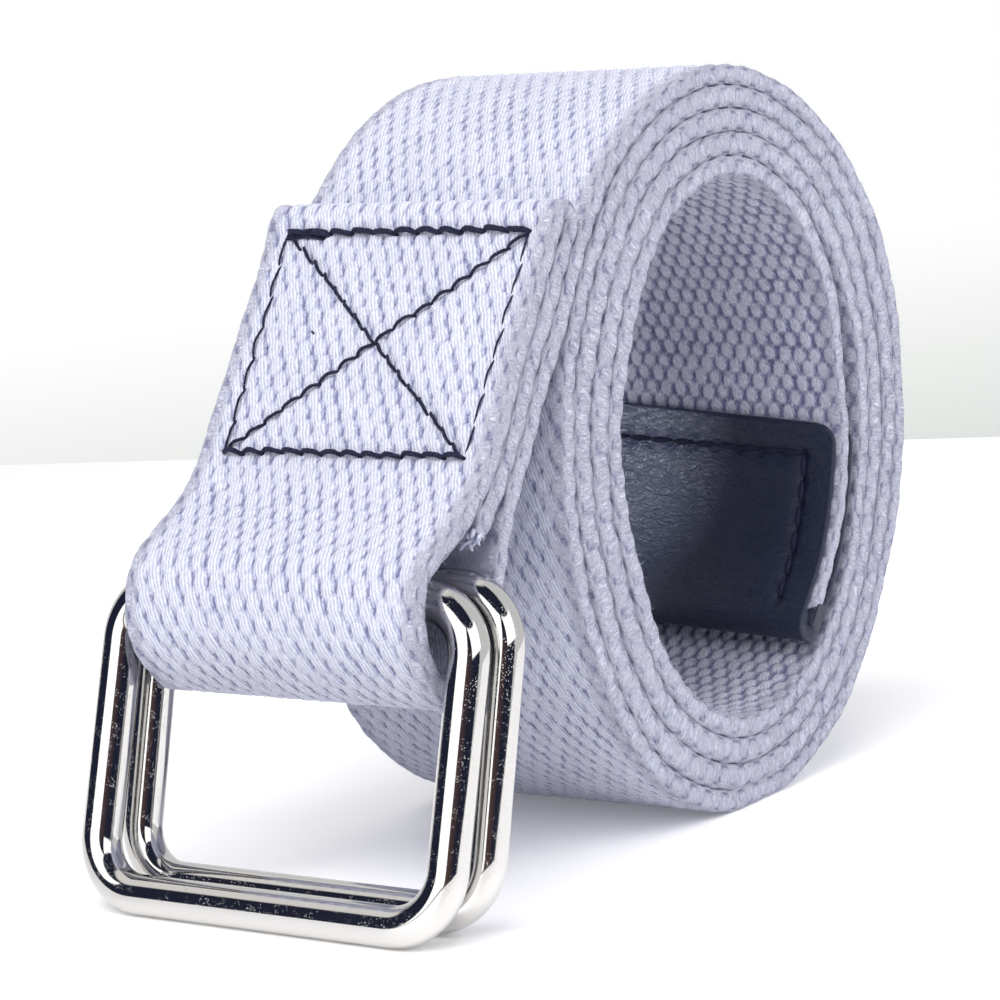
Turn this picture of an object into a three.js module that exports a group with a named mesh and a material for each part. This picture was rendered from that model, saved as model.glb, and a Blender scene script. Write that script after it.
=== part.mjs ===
// Canvas belt, rolled up and standing on its edge, with two rectangular rings in the stitched end.
// Millimetres, Z up, floor at Z = 0. X runs along the strap's width, -Y is the front (rings).
import * as THREE from "three";

// Strap
const STRAP_WIDTH = 38;
const STRAP_THICK = 2.2;
const STRAP_EDGE_CUT = 0.45;      // small chamfer that stands for the soft selvedge
const MAX_TURN_DEG = 4.2;          // largest bend between two sections of the sweep
const MAX_STEP = 3.2;             // longest section of the sweep
const FINE_STEP = 0.25;           // spacing at which the route is read before thinning

// Coil: centre of the roll in the side view, and how it sits on the floor
const COIL_Y = 14.15;
const COIL_Z = 47.4;
const COIL_START_DEG = 36;        // where the outer turn takes over from the hanging end
const COIL_END_DEG = 1679;        // where the inner end stops, counted over all turns
const COIL_STEP_DEG = 15;
const DEG = Math.PI / 180;

// Outer radius of each turn, by angle from the front (0) over the top (90) to the back (180)
const TURNS = [
  // deg, turn1, turn2, turn3, turn4, turn5
  { deg: 0, outer: [41.2, 38.9, 35.4, 31.8, 28.2] },
  { deg: 30, outer: [40.7, 38.05, 34.5, 30.9, 27.4] },
  { deg: 60, outer: [40.5, 37.9, 35.0, 32.0, 28.7] },
  { deg: 90, outer: [40.3, 37.7, 34.95, 32.2, 29.4] },
  { deg: 120, outer: [40.6, 38.0, 35.3, 32.4, 29.0] },
  { deg: 150, outer: [43.0, 39.9, 36.3, 32.9, 28.2] },
  { deg: 180, outer: [44.4, 41.1, 37.0, 33.5, 28.0] },
  { deg: 210, outer: [45.4, 42.6, 38.9, 35.6, 29.8] },
  { deg: 240, outer: [47.5, 44.8, 41.6, 38.7, 33.6] },
  { deg: 270, outer: [47.9, 44.7, 41.8, 38.7, 36.0] },
  { deg: 300, outer: [45.3, 41.8, 38.2, 34.6, 31.8] },
  { deg: 330, outer: [40.9, 37.1, 33.3, 29.5, 26.0] },
];

// Middle line of the hanging end, measured from the coil centre: hem, fold, front, loop, back
const TAB = [
  { y: -55.3, z: -7.2 },
  { y: -50.9, z: -2.0 },
  { y: -47.0, z: 4.0 },
  { y: -42.6, z: 11.2 },
  { y: -38.4, z: 17.9 },
  { y: -34.91, z: 23.41 },
  { y: -34.74, z: 24.47 },
  { y: -35.36, z: 25.34 },
  { y: -36.42, z: 25.51 },
  { y: -37.29, z: 24.89 },
  { y: -40.5, z: 19.3 },
  { y: -44.8, z: 12.5 },
  { y: -49.2, z: 5.4 },
  { y: -53.4, z: -1.2 },
  { y: -57.7, z: -5.2 },
  { y: -62.7, z: -8.2 },
  { y: -65.2, z: -9.9 },
  { y: -66.5, z: -12.4 },
  { y: -66.7, z: -16.4 },
  { y: -64.7, z: -20.6 },
  { y: -60.7, z: -23.7 },
  { y: -56.4, z: -22.7 },
  { y: -53.4, z: -18.4 },
  { y: -52.2, z: -13.0 },
  { y: -50.7, z: -8.2 },
  { y: -47.7, z: -2.6 },
  { y: -43.4, z: 4.2 },
  { y: -38.9, z: 11.4 },
  { y: -35.2, z: 17.8 },
];

// Leather tip folded over the inner end
const TIP_THICK = 0.9;
const TIP_LENGTH = 26;
const TIP_GAP = 0.2;
const TIP_OVERHANG = 0.3;         // how far the tip is wider than the strap, each side
const TIP_CORNER = 3;
const TIP_EDGE_CUT = 0.2;
const TIP_STEPS = 18;
const TIP_FOLD_STEPS = 10;

// Rings
const RING_WIRE = 4.4;
const RING_INNER_WIDTH = 40.8;
const RING_INNER_HEIGHT = 29;
const RING_CORNER = 6.1;          // bend radius on the middle line of the wire
const RING_CORNER_STEPS = 8;
const RING_SIDE_STEPS = 4;
const RING_SIDES = 20;
const RINGS = [
  { name: "ring_front", barY: -61.9, lean: 15, shift: -0.3 },
  { name: "ring_back", barY: -56.45, lean: 13.4, shift: 0.3 },
];

function smooth(before, from, to, after, t) {
  const a = 2 * from;
  const b = to - before;
  const c = 2 * before - 5 * from + 4 * to - after;
  const d = 3 * from - before - 3 * to + after;
  return 0.5 * (a + b * t + c * t * t + d * t * t * t);
}

// Outer radius at an angle counted on over all the turns
function turnRadius(angleDeg) {
  const rows = TURNS.length;
  const step = 360 / rows;
  const at = (row) => {
    const turn = Math.min(Math.floor(row / rows), TURNS[0].outer.length - 1);
    return TURNS[((row % rows) + rows) % rows].outer[Math.max(turn, 0)];
  };
  const row = Math.floor(angleDeg / step);
  return smooth(at(row - 1), at(row), at(row + 1), at(row + 2), angleDeg / step - row);
}

// Middle line of the strap in the coil
function coilPoint(angleDeg) {
  const radius = turnRadius(angleDeg) - STRAP_THICK / 2;
  const y = -Math.cos(angleDeg * DEG) * radius;
  const z = Math.sin(angleDeg * DEG) * radius;
  return new THREE.Vector3(0, COIL_Y + y, COIL_Z + z);
}

function strapRoute() {
  const points = TAB.map((p) => new THREE.Vector3(0, COIL_Y + p.y, COIL_Z + p.z));
  const steps = Math.round((COIL_END_DEG - COIL_START_DEG) / COIL_STEP_DEG);
  for (let i = 0; i <= steps; i++) {
    points.push(coilPoint(COIL_START_DEG + ((COIL_END_DEG - COIL_START_DEG) * i) / steps));
  }
  return new THREE.CatmullRomCurve3(points, false, "centripetal");
}

// Points along the route, closer together where it bends; the roll is flat where it rests
function thinned(curve, maxStep, maxTurnDeg) {
  const fine = curve.getSpacedPoints(Math.round(curve.getLength() / FINE_STEP));
  for (const p of fine) {
    p.z = Math.max(p.z, STRAP_THICK / 2);
  }
  const kept = [fine[0]];
  const heading = (i) => fine[i + 1].clone().sub(fine[i]).normalize();
  let last = heading(0);
  for (let i = 1; i < fine.length - 1; i++) {
    const turned = Math.acos(Math.min(1, heading(i).dot(last))) / DEG;
    if (turned >= maxTurnDeg || fine[i].distanceTo(kept[kept.length - 1]) >= maxStep) {
      kept.push(fine[i]);
      last = heading(i);
    }
  }
  kept.push(fine[fine.length - 1]);
  return kept;
}

// Flat band swept along points in the side view; halfWidth(i) gives its half width there
function band(points, thick, halfWidth, edgeCut) {
  const count = points.length;
  const vertices = [];
  for (let i = 0; i < count; i++) {
    const before = points[Math.max(i - 1, 0)];
    const after = points[Math.min(i + 1, count - 1)];
    const along = after.clone().sub(before).normalize();
    const up = new THREE.Vector3(0, -along.z, along.y);
    const w = halfWidth(i);
    const h = thick / 2;
    const section = [
      [w - edgeCut, -h], [w, edgeCut - h], [w, h - edgeCut], [w - edgeCut, h],
      [edgeCut - w, h], [-w, h - edgeCut], [-w, edgeCut - h], [edgeCut - w, -h],
    ];
    for (const [x, n] of section) {
      vertices.push(x, points[i].y + up.y * n, points[i].z + up.z * n);
    }
  }
  return sweptGeometry(vertices, count, 8, false);
}

// Joins rings of points into one closed surface
function sweptGeometry(vertices, count, sides, closed) {
  const index = [];
  const spans = closed ? count : count - 1;
  for (let i = 0; i < spans; i++) {
    const next = (i + 1) % count;
    for (let k = 0; k < sides; k++) {
      const a = i * sides + k;
      const b = i * sides + ((k + 1) % sides);
      const c = next * sides + ((k + 1) % sides);
      const d = next * sides + k;
      index.push(a, b, c, a, c, d);
    }
  }
  if (!closed) {
    const end = (count - 1) * sides;
    for (let k = 1; k < sides - 1; k++) {
      index.push(0, k + 1, k);
      index.push(end, end + k, end + k + 1);
    }
  }
  const geometry = new THREE.BufferGeometry();
  geometry.setAttribute("position", new THREE.Float32BufferAttribute(vertices, 3));
  geometry.setIndex(index);
  geometry.computeVertexNormals();
  return geometry;
}

// Path of the leather: down the inner face, round the end, back up the outer face
function tipRoute(curve) {
  const length = curve.getLength();
  const offset = STRAP_THICK / 2 + TIP_GAP + TIP_THICK / 2;
  const pointAt = (s) => curve.getPointAt(Math.min(s / length, 1));
  const normalAt = (s) => {
    const t = curve.getTangentAt(Math.min(s / length, 1));
    return new THREE.Vector3(0, -t.z, t.y);
  };
  const inner = [];
  const outer = [];
  for (let i = 0; i <= TIP_STEPS; i++) {
    const s = length - TIP_LENGTH + (TIP_LENGTH * i) / TIP_STEPS;
    inner.push(pointAt(s).add(normalAt(s).multiplyScalar(offset)));
    outer.push(pointAt(s).add(normalAt(s).multiplyScalar(-offset)));
  }
  const end = pointAt(length);
  const ahead = curve.getTangentAt(1);
  const side = normalAt(length);
  const fold = [];
  for (let i = 0; i <= TIP_FOLD_STEPS; i++) {
    const a = (Math.PI * i) / TIP_FOLD_STEPS;
    fold.push(end.clone()
      .add(ahead.clone().multiplyScalar(TIP_GAP + TIP_THICK / 2 + offset * Math.sin(a)))
      .add(side.clone().multiplyScalar(offset * Math.cos(a))));
  }
  return inner.concat(fold, outer.reverse());
}

function tipHalfWidths(points) {
  const run = [0];
  for (let i = 1; i < points.length; i++) {
    run.push(run[i - 1] + points[i].distanceTo(points[i - 1]));
  }
  const total = run[run.length - 1];
  return run.map((s) => {
    const fromEnd = Math.min(s, total - s, TIP_CORNER);
    const cut = TIP_CORNER - Math.sqrt(TIP_CORNER ** 2 - (TIP_CORNER - fromEnd) ** 2);
    return STRAP_WIDTH / 2 + TIP_OVERHANG - cut;
  });
}

// Round wire bent to a rectangle with rounded corners, hung from its top bar
function ringGeometry(ring) {
  const halfW = (RING_INNER_WIDTH + RING_WIRE) / 2;
  const height = RING_INNER_HEIGHT + RING_WIRE;
  const r = RING_CORNER;
  const corners = [
    { x: halfW - r, w: -r, from: 90 },
    { x: halfW - r, w: r - height, from: 0 },
    { x: r - halfW, w: r - height, from: -90 },
    { x: r - halfW, w: -r, from: -180 },
  ];
  const line = [];
  corners.forEach((c, k) => {
    for (let i = 0; i <= RING_CORNER_STEPS; i++) {
      const a = (c.from - (90 * i) / RING_CORNER_STEPS) * DEG;
      line.push([c.x + r * Math.cos(a), c.w + r * Math.sin(a)]);
    }
    const n = corners[(k + 1) % corners.length];
    const a0 = (c.from - 90) * DEG;
    const from = [c.x + r * Math.cos(a0), c.w + r * Math.sin(a0)];
    const to = [n.x + r * Math.cos(n.from * DEG), n.w + r * Math.sin(n.from * DEG)];
    for (let i = 1; i < RING_SIDE_STEPS; i++) {
      const t = i / RING_SIDE_STEPS;
      line.push([from[0] + (to[0] - from[0]) * t, from[1] + (to[1] - from[1]) * t]);
    }
  });
  const lean = ring.lean * DEG;
  const down = new THREE.Vector3(0, Math.sin(lean), Math.cos(lean));
  const out = new THREE.Vector3(0, -Math.cos(lean), Math.sin(lean));
  const barY = COIL_Y + ring.barY;
  const barZ = height * Math.cos(lean) + RING_WIRE / 2;
  const vertices = [];
  for (let i = 0; i < line.length; i++) {
    const [x0, w0] = line[(i + line.length - 1) % line.length];
    const [x1, w1] = line[(i + 1) % line.length];
    const run = Math.hypot(x1 - x0, w1 - w0);
    const nx = (w1 - w0) / run;
    const nw = -(x1 - x0) / run;
    for (let k = 0; k < RING_SIDES; k++) {
      const a = (2 * Math.PI * k) / RING_SIDES;
      const inPlane = (RING_WIRE / 2) * Math.cos(a);
      const across = (RING_WIRE / 2) * Math.sin(a);
      const x = line[i][0] + nx * inPlane + ring.shift;
      const w = line[i][1] + nw * inPlane;
      vertices.push(x, barY + down.y * w + out.y * across, barZ + down.z * w + out.z * across);
    }
  }
  return sweptGeometry(vertices, line.length, RING_SIDES, true);
}

function outward(geometry) {
  const p = geometry.getAttribute("position");
  const index = geometry.getIndex();
  const a = new THREE.Vector3();
  const b = new THREE.Vector3();
  const c = new THREE.Vector3();
  let volume = 0;
  for (let i = 0; i < index.count; i += 3) {
    a.fromBufferAttribute(p, index.getX(i));
    b.fromBufferAttribute(p, index.getX(i + 1));
    c.fromBufferAttribute(p, index.getX(i + 2));
    volume += a.dot(b.cross(c));
  }
  if (volume < 0) {
    for (let i = 0; i < index.count; i += 3) {
      const first = index.getX(i);
      index.setX(i, index.getX(i + 1));
      index.setX(i + 1, first);
    }
    geometry.computeVertexNormals();
  }
  return geometry;
}

function piece(name, geometry, color, metalness, roughness) {
  const material = new THREE.MeshStandardMaterial({ color, metalness, roughness });
  const mesh = new THREE.Mesh(outward(geometry), material);
  mesh.name = name;
  return mesh;
}

const group = new THREE.Group();
group.name = "canvas_belt";

const route = strapRoute();
const strapPoints = thinned(route, MAX_STEP, MAX_TURN_DEG);
const strap = band(strapPoints, STRAP_THICK, () => STRAP_WIDTH / 2, STRAP_EDGE_CUT);
group.add(piece("strap", strap, 0xc3c6e0, 0, 0.9));

const tipPoints = tipRoute(route);
const tipWidths = tipHalfWidths(tipPoints);
const tip = band(tipPoints, TIP_THICK, (i) => tipWidths[i], TIP_EDGE_CUT);
group.add(piece("leather_tip", tip, 0x1c1e26, 0, 0.5));

for (const ring of RINGS) {
  group.add(piece(ring.name, ringGeometry(ring), 0xd8d8da, 1, 0.1));
}

export default group;
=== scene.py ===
"""Canvas belt with two rings and a leather tip, rolled up and standing on its edge."""
import math
import bpy
import numpy as np
from mathutils import Matrix, Vector


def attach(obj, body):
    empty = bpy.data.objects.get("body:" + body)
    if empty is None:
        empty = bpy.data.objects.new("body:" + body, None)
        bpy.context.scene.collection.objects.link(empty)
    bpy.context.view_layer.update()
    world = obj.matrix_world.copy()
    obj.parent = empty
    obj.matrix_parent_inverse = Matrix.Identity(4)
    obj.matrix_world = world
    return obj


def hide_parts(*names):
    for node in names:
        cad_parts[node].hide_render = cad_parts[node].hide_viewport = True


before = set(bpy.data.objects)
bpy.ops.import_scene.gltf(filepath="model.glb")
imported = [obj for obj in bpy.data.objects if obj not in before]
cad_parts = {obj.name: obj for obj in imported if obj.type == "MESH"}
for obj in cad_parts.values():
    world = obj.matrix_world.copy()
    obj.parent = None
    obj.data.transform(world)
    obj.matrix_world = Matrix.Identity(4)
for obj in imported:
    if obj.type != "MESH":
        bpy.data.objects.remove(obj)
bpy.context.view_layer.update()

MM = 0.001
DEG = math.pi / 180

# Strap, in millimetres, and the coil's angles, which go on growing from turn to turn
STRAP_WIDTH = 38.0
STRAP_THICK = 2.2
HALF_THICK = STRAP_THICK / 2
EDGE_ROUND = 1.0
EDGE_SQUARENESS = 0.48
EDGE_TURN = 1.3
COIL_Y = 14.15
COIL_Z = 47.4
COIL_START_DEG = 36
OUTER_TURN_END_DEG = 408
INNER_TURN_START_DEG = 1200
COIL_END_DEG = 1679
COIL_STEP_DEG = 15
CURVE_STEPS = 24
ROUTE_STEP = 0.1

# Outer radius of each turn, by angle from the front (0) over the top (90) to the back (180)
TURNS = [
    # deg, turn 1, turn 2, turn 3, turn 4, turn 5
    (0, 41.2, 38.9, 35.4, 31.8, 28.2),
    (30, 40.7, 38.05, 34.5, 30.9, 27.4),
    (60, 40.5, 37.9, 35.0, 32.0, 28.7),
    (90, 40.3, 37.7, 34.95, 32.2, 29.4),
    (120, 40.6, 38.0, 35.3, 32.4, 29.0),
    (150, 43.0, 39.9, 36.3, 32.9, 28.2),
    (180, 44.4, 41.1, 37.0, 33.5, 28.0),
    (210, 45.4, 42.6, 38.9, 35.6, 29.8),
    (240, 47.5, 44.8, 41.6, 38.7, 33.6),
    (270, 47.9, 44.7, 41.8, 38.7, 36.0),
    (300, 45.3, 41.8, 38.2, 34.6, 31.8),
    (330, 40.9, 37.1, 33.3, 29.5, 26.0),
]

# Middle line (y, z) of the hanging end from the coil centre: hem, fold, front, loop, back
TAB = [
    (-55.3, -7.2), (-50.9, -2.0), (-47.0, 4.0), (-42.6, 11.2), (-38.4, 17.9),
    (-34.91, 23.41), (-34.74, 24.47), (-35.36, 25.34), (-36.42, 25.51), (-37.29, 24.89),
    (-40.5, 19.3), (-44.8, 12.5), (-49.2, 5.4), (-53.4, -1.2), (-57.7, -5.2),
    (-62.7, -8.2), (-65.2, -9.9), (-66.5, -12.4), (-66.7, -16.4), (-64.7, -20.6),
    (-60.7, -23.7), (-56.4, -22.7), (-53.4, -18.4), (-52.2, -13.0), (-50.7, -8.2),
    (-47.7, -2.6), (-43.4, 4.2), (-38.9, 11.4), (-35.2, 17.8),
]
TAB_FRONT_TOP = 9

# Cloth that is fuller where turns or layers lie together, so that they touch softly
ROOM_STEP = 1.5
TURNS_PRESS = 0.08
TURNS_FULLEST = 0.68
FULLEST_BY_TIP = 0.95
BY_TIP_FROM_DEG = 1540
COVERED_FROM_DEG = 400
COVERED_TO_DEG = 1240
COVER_FADE_DEG = 20
FULLER_TO_DEG = 1618
FULLER_FADE_DEG = 12
LAYERS_PRESS = 0.06
LAYERS_FULLEST = 0.6
LAYERS_WIDEST_GAP = 1.2

# Weave: warp yarns run along the strap, and each one comes up over every second pick
WARPS_AROUND = 76
PICK = 1.93
RELIEF = 0.42
EDGE_FLATTER = 0.42
CROWN_LIFT = 0.04
PLAIN_HEIGHT = 0.6
FLOAT_HALF_WIDTH = 0.97
FLOAT_HALF_LENGTH = 0.82
FLOAT_SLANT = 0.25
INSIDE_HALF_LENGTH = 0.70
INSIDE_HALF_WIDTH = 0.93
INSIDE_SLANT = 0.03

# Leather tip, and the strap's own end inside it
TIP_THICK = 0.9
TIP_LENGTH = 26.0
TIP_GAP = 0.2
TIP_HALF_WIDTH = 18.85
TIP_OUTER_WIDER = 0.5
TIP_CORNER = 3.0
TIP_BEVEL = 0.42
TIP_STITCH_IN = 4.2
TIP_STITCH_PITCH = 3.2
TIP_STITCH_LINE = TIP_HALF_WIDTH - TIP_STITCH_IN
TIP_SIDE_STITCHES = 6
TIP_SIDE_GROOVE_END = 24
TIP_STEP = 0.35
TIP_SKEW = 0.065
STRAP_WIDER_BY_TIP = 0.45
STRAP_NARROWER_IN_FOLD = 1.7

# Rings
RING_WIRE = 4.4
RING_INNER_WIDTH = 40.8
RING_INNER_HEIGHT = 29.0
RING_CORNER = 6.1
RINGS = {
    # name: (y of the top bar from the coil centre, lean in degrees, sideways shift)
    "ring_front": (-61.9, 15.0, -0.3),
    "ring_back": (-56.45, 13.4, 0.3),
}

# Loose fibres: length, thickness and spacing
EDGE_FIBRE = (0.72, 0.021)
EDGE_FIBRE_SPACING = 0.56
FACE_FIBRE = (0.7, 0.013)
FACE_FIBRES = 1500
FRAY_YARNS = 190
FRAY_FIBRE = (1.6, 0.02)
FRAY_FIBRES = 260

# Camera, from the coil centre, and the direction it looks from
CAMERA_AZIMUTH = 33.449
CAMERA_ELEVATION = 7.263
CAMERA_ROLL = -2.604
CAMERA_DISTANCE = 385.96
CAMERA_SIDE = 12.01
CAMERA_UP = 11.22
LENS = 115.2

# Floor: a plane that ends behind the object, its far edge turned as the photo's horizon runs
FLOOR_SIZE = 1.6
FLOOR_TURN = 24.6
FLOOR_PLACE = (-0.2225, 0.324, 0)

# Soft boxes round the object
LIGHT_DISTANCE = 1.1
LIGHT_AIM = (0, 0, 0.045)
LIGHTS = {
    # name: (azimuth, elevation, (width, height), power, colour)
    "key_box": (6, 44, (1.15, 1.0), 17.6, (1.0, 0.995, 0.98)),
    "top_box": (60, 86, (0.9, 0.8), 3.8, (1, 1, 1)),
    "right_box": (118, 28, (1.25, 1.0), 10.2, (1, 1, 1)),
    "sheen_box": (-20, 9, (0.22, 0.34), 19.0, (0.86, 0.90, 1.0)),
}


def share(value, low, high):
    """0 at low and 1 at high, straight between and level beyond."""
    return np.clip((value - low) / (high - low), 0, 1)


def smooth(before, start, end, after, t):
    """A value between start and end, on a smooth curve through all four."""
    a = 2 * start
    b = end - before
    c = 2 * before - 5 * start + 4 * end - after
    d = 3 * start - before - 3 * end + after
    return 0.5 * (a + b * t + c * t * t + d * t ** 3)


def turn_radius(angle):
    """Outer radius of the coil at an angle."""
    step = 360 / len(TURNS)
    last_turn = len(TURNS[0]) - 2

    def at(row):
        turn = min(max(math.floor(row / len(TURNS)), 0), last_turn)
        return TURNS[row % len(TURNS)][1 + turn]

    row = math.floor(angle / step)
    return smooth(at(row - 1), at(row), at(row + 1), at(row + 2), angle / step - row)


def coil_point(angle):
    """The strap's middle line at an angle, from the coil centre."""
    radius = turn_radius(angle) - HALF_THICK
    return (-math.cos(angle * DEG) * radius, math.sin(angle * DEG) * radius)


def turn_room(angle):
    """How much fuller the cloth is at an angle of the coil, outwards and inwards."""
    outwards = inwards = 0.0
    if angle > COVERED_FROM_DEG:
        gap = turn_radius(angle - 360) - STRAP_THICK - turn_radius(angle)
        fullest = TURNS_FULLEST if angle < BY_TIP_FROM_DEG else FULLEST_BY_TIP
        outwards = np.clip(gap / 2 + TURNS_PRESS, 0, fullest)
        outwards = outwards * share(angle, FULLER_TO_DEG, FULLER_TO_DEG - FULLER_FADE_DEG)
        outwards = outwards * share(angle, COVERED_FROM_DEG, COVERED_FROM_DEG + COVER_FADE_DEG)
    if angle < COVERED_TO_DEG:
        gap = turn_radius(angle) - STRAP_THICK - turn_radius(angle + 360)
        inwards = np.clip(gap / 2 + TURNS_PRESS, 0, TURNS_FULLEST)
        inwards = inwards * share(angle, COVERED_TO_DEG, COVERED_TO_DEG - COVER_FADE_DEG)
    return outwards, inwards


def centripetal_curve(points, steps):
    """Points on a smooth curve through the given ones."""
    p = np.array(points, float)
    p = np.vstack([2 * p[0] - p[1], p, 2 * p[-1] - p[-2]])
    t = np.linspace(0, 1, steps, endpoint=False)[:, None]
    out = []
    for i in range(1, len(p) - 2):
        x0, x1, x2, x3 = p[i - 1:i + 3]
        d0, d1, d2 = (math.sqrt(np.linalg.norm(b - a)) for a, b in ((x0, x1), (x1, x2), (x2, x3)))
        t1 = ((x1 - x0) / d0 - (x2 - x0) / (d0 + d1) + (x2 - x1) / d1) * d1
        t2 = ((x2 - x1) / d1 - (x3 - x1) / (d1 + d2) + (x3 - x2) / d2) * d1
        square = 3 * x2 - 3 * x1 - 2 * t1 - t2
        cube = 2 * x1 - 2 * x2 + t1 + t2
        out.append(x1 + t1 * t + square * t ** 2 + cube * t ** 3)
    out.append(p[-2][None])
    return np.vstack(out)


def distances_along(points):
    steps = np.linalg.norm(np.diff(points, axis=0), axis=1)
    return np.concatenate([[0], np.cumsum(steps)])


def evened(values, width):
    """A row of values, each one the mean of its neighbours."""
    padded = np.pad(values, width // 2, mode="edge")
    return np.convolve(padded, np.ones(width) / width, mode="valid")


class Route:
    """The strap's middle line in the side view, read by distance from its raw end in the hem."""

    def __init__(self):
        span = COIL_END_DEG - COIL_START_DEG
        count = round(span / COIL_STEP_DEG)
        self.angles = [COIL_START_DEG + span * i / count for i in range(count + 1)]
        line = centripetal_curve(TAB + [coil_point(angle) for angle in self.angles], CURVE_STEPS)
        run = distances_along(line)
        self.tab_runs = run[::CURVE_STEPS][:len(TAB)]
        self.coil_runs = run[::CURVE_STEPS][len(TAB):]
        self.length = run[-1]
        self.s = np.linspace(0, self.length, round(self.length / ROUTE_STEP))
        self.y = np.interp(self.s, run, line[:, 0]) + COIL_Y
        self.z = np.maximum(np.interp(self.s, run, line[:, 1]) + COIL_Z, HALF_THICK)
        self.heading = evened(np.unwrap(np.arctan2(np.gradient(self.z), np.gradient(self.y))), 9)
        self.measure_room()

    def at(self, s):
        """Places (y, z), headings along and normals across at distances s."""
        y, z, a = (np.interp(s, self.s, values) for values in (self.y, self.z, self.heading))
        place = np.stack([y, z], -1)
        ahead = np.stack([np.cos(a), np.sin(a)], -1)
        normal = np.stack([-np.sin(a), np.cos(a)], -1)
        return place, ahead, normal

    def run_at_angle(self, angle):
        return float(np.interp(angle, self.angles, self.coil_runs))

    def measure_room(self):
        """How much fuller the cloth is along the strap, on its outer and inner sides."""
        coil_s = np.arange(self.coil_runs[0], self.length, ROOM_STEP)
        tab_s = np.arange(coil_s[0] - ROOM_STEP, 0, -ROOM_STEP)[::-1]
        turns = [turn_room(angle) for angle in np.interp(coil_s, self.coil_runs, self.angles)]
        outwards, inwards = zip(*turns)
        self.room_s = np.concatenate([tab_s, coil_s])
        self.room_out = evened(np.concatenate([self.layer_room(tab_s, 1), outwards]), 7)
        self.room_in = evened(np.concatenate([self.layer_room(tab_s, -1), inwards]), 7)

    def layer_room(self, s, sign):
        """How much fuller the hanging end is on one side, from the nearest layer that lies there."""
        place, ahead, normal = self.at(s)
        away = np.stack([self.y, self.z], -1)[None, ::4] - place[:, None]
        along = np.abs(np.sum(away * ahead[:, None], -1))
        across = sign * np.sum(away * normal[:, None], -1)
        apart = np.abs(self.s[None, ::4] - s[:, None])
        beside = (along < 1.0) & (apart > 6) & (across > 0)
        gap = np.where(beside, across, 99).min(1) - STRAP_THICK
        fuller = np.clip(gap / 2 + LAYERS_PRESS, 0, LAYERS_FULLEST)
        return np.where(gap < LAYERS_WIDEST_GAP, fuller, 0.0)

    def room(self, s):
        room_out = np.interp(s, self.room_s, self.room_out, left=0.0)
        room_in = np.interp(s, self.room_s, self.room_in, left=0.0)
        return room_out, room_in


route = Route()
chance = np.random.default_rng(11)
PICKS = int(route.length / PICK) + 8
FLOAT_SIZE = chance.uniform(-1, 1, (WARPS_AROUND, PICKS))
FLOAT_SLIP = chance.uniform(-1, 1, (WARPS_AROUND, PICKS))


def section(fine_outside, fine_inside, columns):
    """The strap's cross section, as rows of x, offset across, outward normal, distance round and
    fine or not, and the pitch of its warps, each of which gets the given number of columns."""
    half = STRAP_WIDTH / 2 - EDGE_ROUND
    arc = math.pi * math.sqrt((EDGE_ROUND ** 2 + HALF_THICK ** 2) / 2)
    around = 4 * half + 2 * arc
    pitch = around / WARPS_AROUND
    step = pitch / columns
    rows = []

    def face(start_x, sign, first, fine):
        count = round(2 * half / step) if fine else 5
        for i in range(count):
            t = i / count
            rows.append((start_x * (1 - 2 * t), sign * HALF_THICK, 0.0, sign, first + 2 * half * t, fine))

    def edge(side, start_sign, first):
        count = round(arc / step)
        for i in range(count):
            a = math.pi * i / count
            out, over = math.sin(a), math.cos(a)
            x = side * EDGE_ROUND * out ** EDGE_SQUARENESS
            across = start_sign * HALF_THICK * math.copysign(abs(over) ** EDGE_SQUARENESS, over)
            normal_x = side * out ** EDGE_TURN
            normal_across = start_sign * math.copysign(abs(over) ** EDGE_TURN, over)
            size = math.hypot(normal_x, normal_across)
            rows.append((side * half + x, across, normal_x / size, normal_across / size,
                         first + arc * i / count, True))

    face(-half, 1.0, 0.0, fine_outside)
    edge(1.0, 1.0, 2 * half)
    face(half, -1.0, 2 * half + arc, fine_inside)
    edge(-1.0, -1.0, 4 * half + arc)
    return np.array(rows, float), pitch


def weave_height(across, along, half_width, half_length, slant):
    """Height of the yarns at (across in warps, along in picks), 0 in the gaps to about 1 on the
    crowns. Each float differs a little from the next in size, place and slant."""
    best = np.zeros(np.broadcast(across, along).shape)
    for shift in (-1, 0, 1, 2):
        warp = np.floor(across) + shift
        index = (warp.astype(int) % WARPS_AROUND) * np.ones_like(best, int)
        pick = along + warp
        middle = np.round(pick / 2)
        which = np.clip(middle.astype(int), 0, PICKS - 1)
        size, slip = FLOAT_SIZE[index, which], FLOAT_SLIP[index, which]
        down = (pick - 2 * middle + 0.07 * slip) / (half_length * (1 + 0.07 * size))
        side = across - warp + (slant + 0.10 * slip) * down + 0.06 * size
        side = side / (half_width * (1 - 0.06 * slip))
        dome = np.maximum(0, 1 - np.abs(side) ** 2.0 - np.abs(down) ** 2.1) ** 0.6
        best = np.maximum(best, dome * (0.92 + 0.10 * size))
    return best


def ring_faces(rings, sides):
    """Faces that join rings of points, with a cap on each end."""
    faces = []
    for i in range(rings - 1):
        for k in range(sides):
            a, b = i * sides + k, i * sides + (k + 1) % sides
            faces.append((a, b, b + sides, a + sides))
    last = (rings - 1) * sides
    faces.append(tuple(range(sides))[::-1])
    faces.append(tuple(range(last, last + sides)))
    return faces


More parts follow.
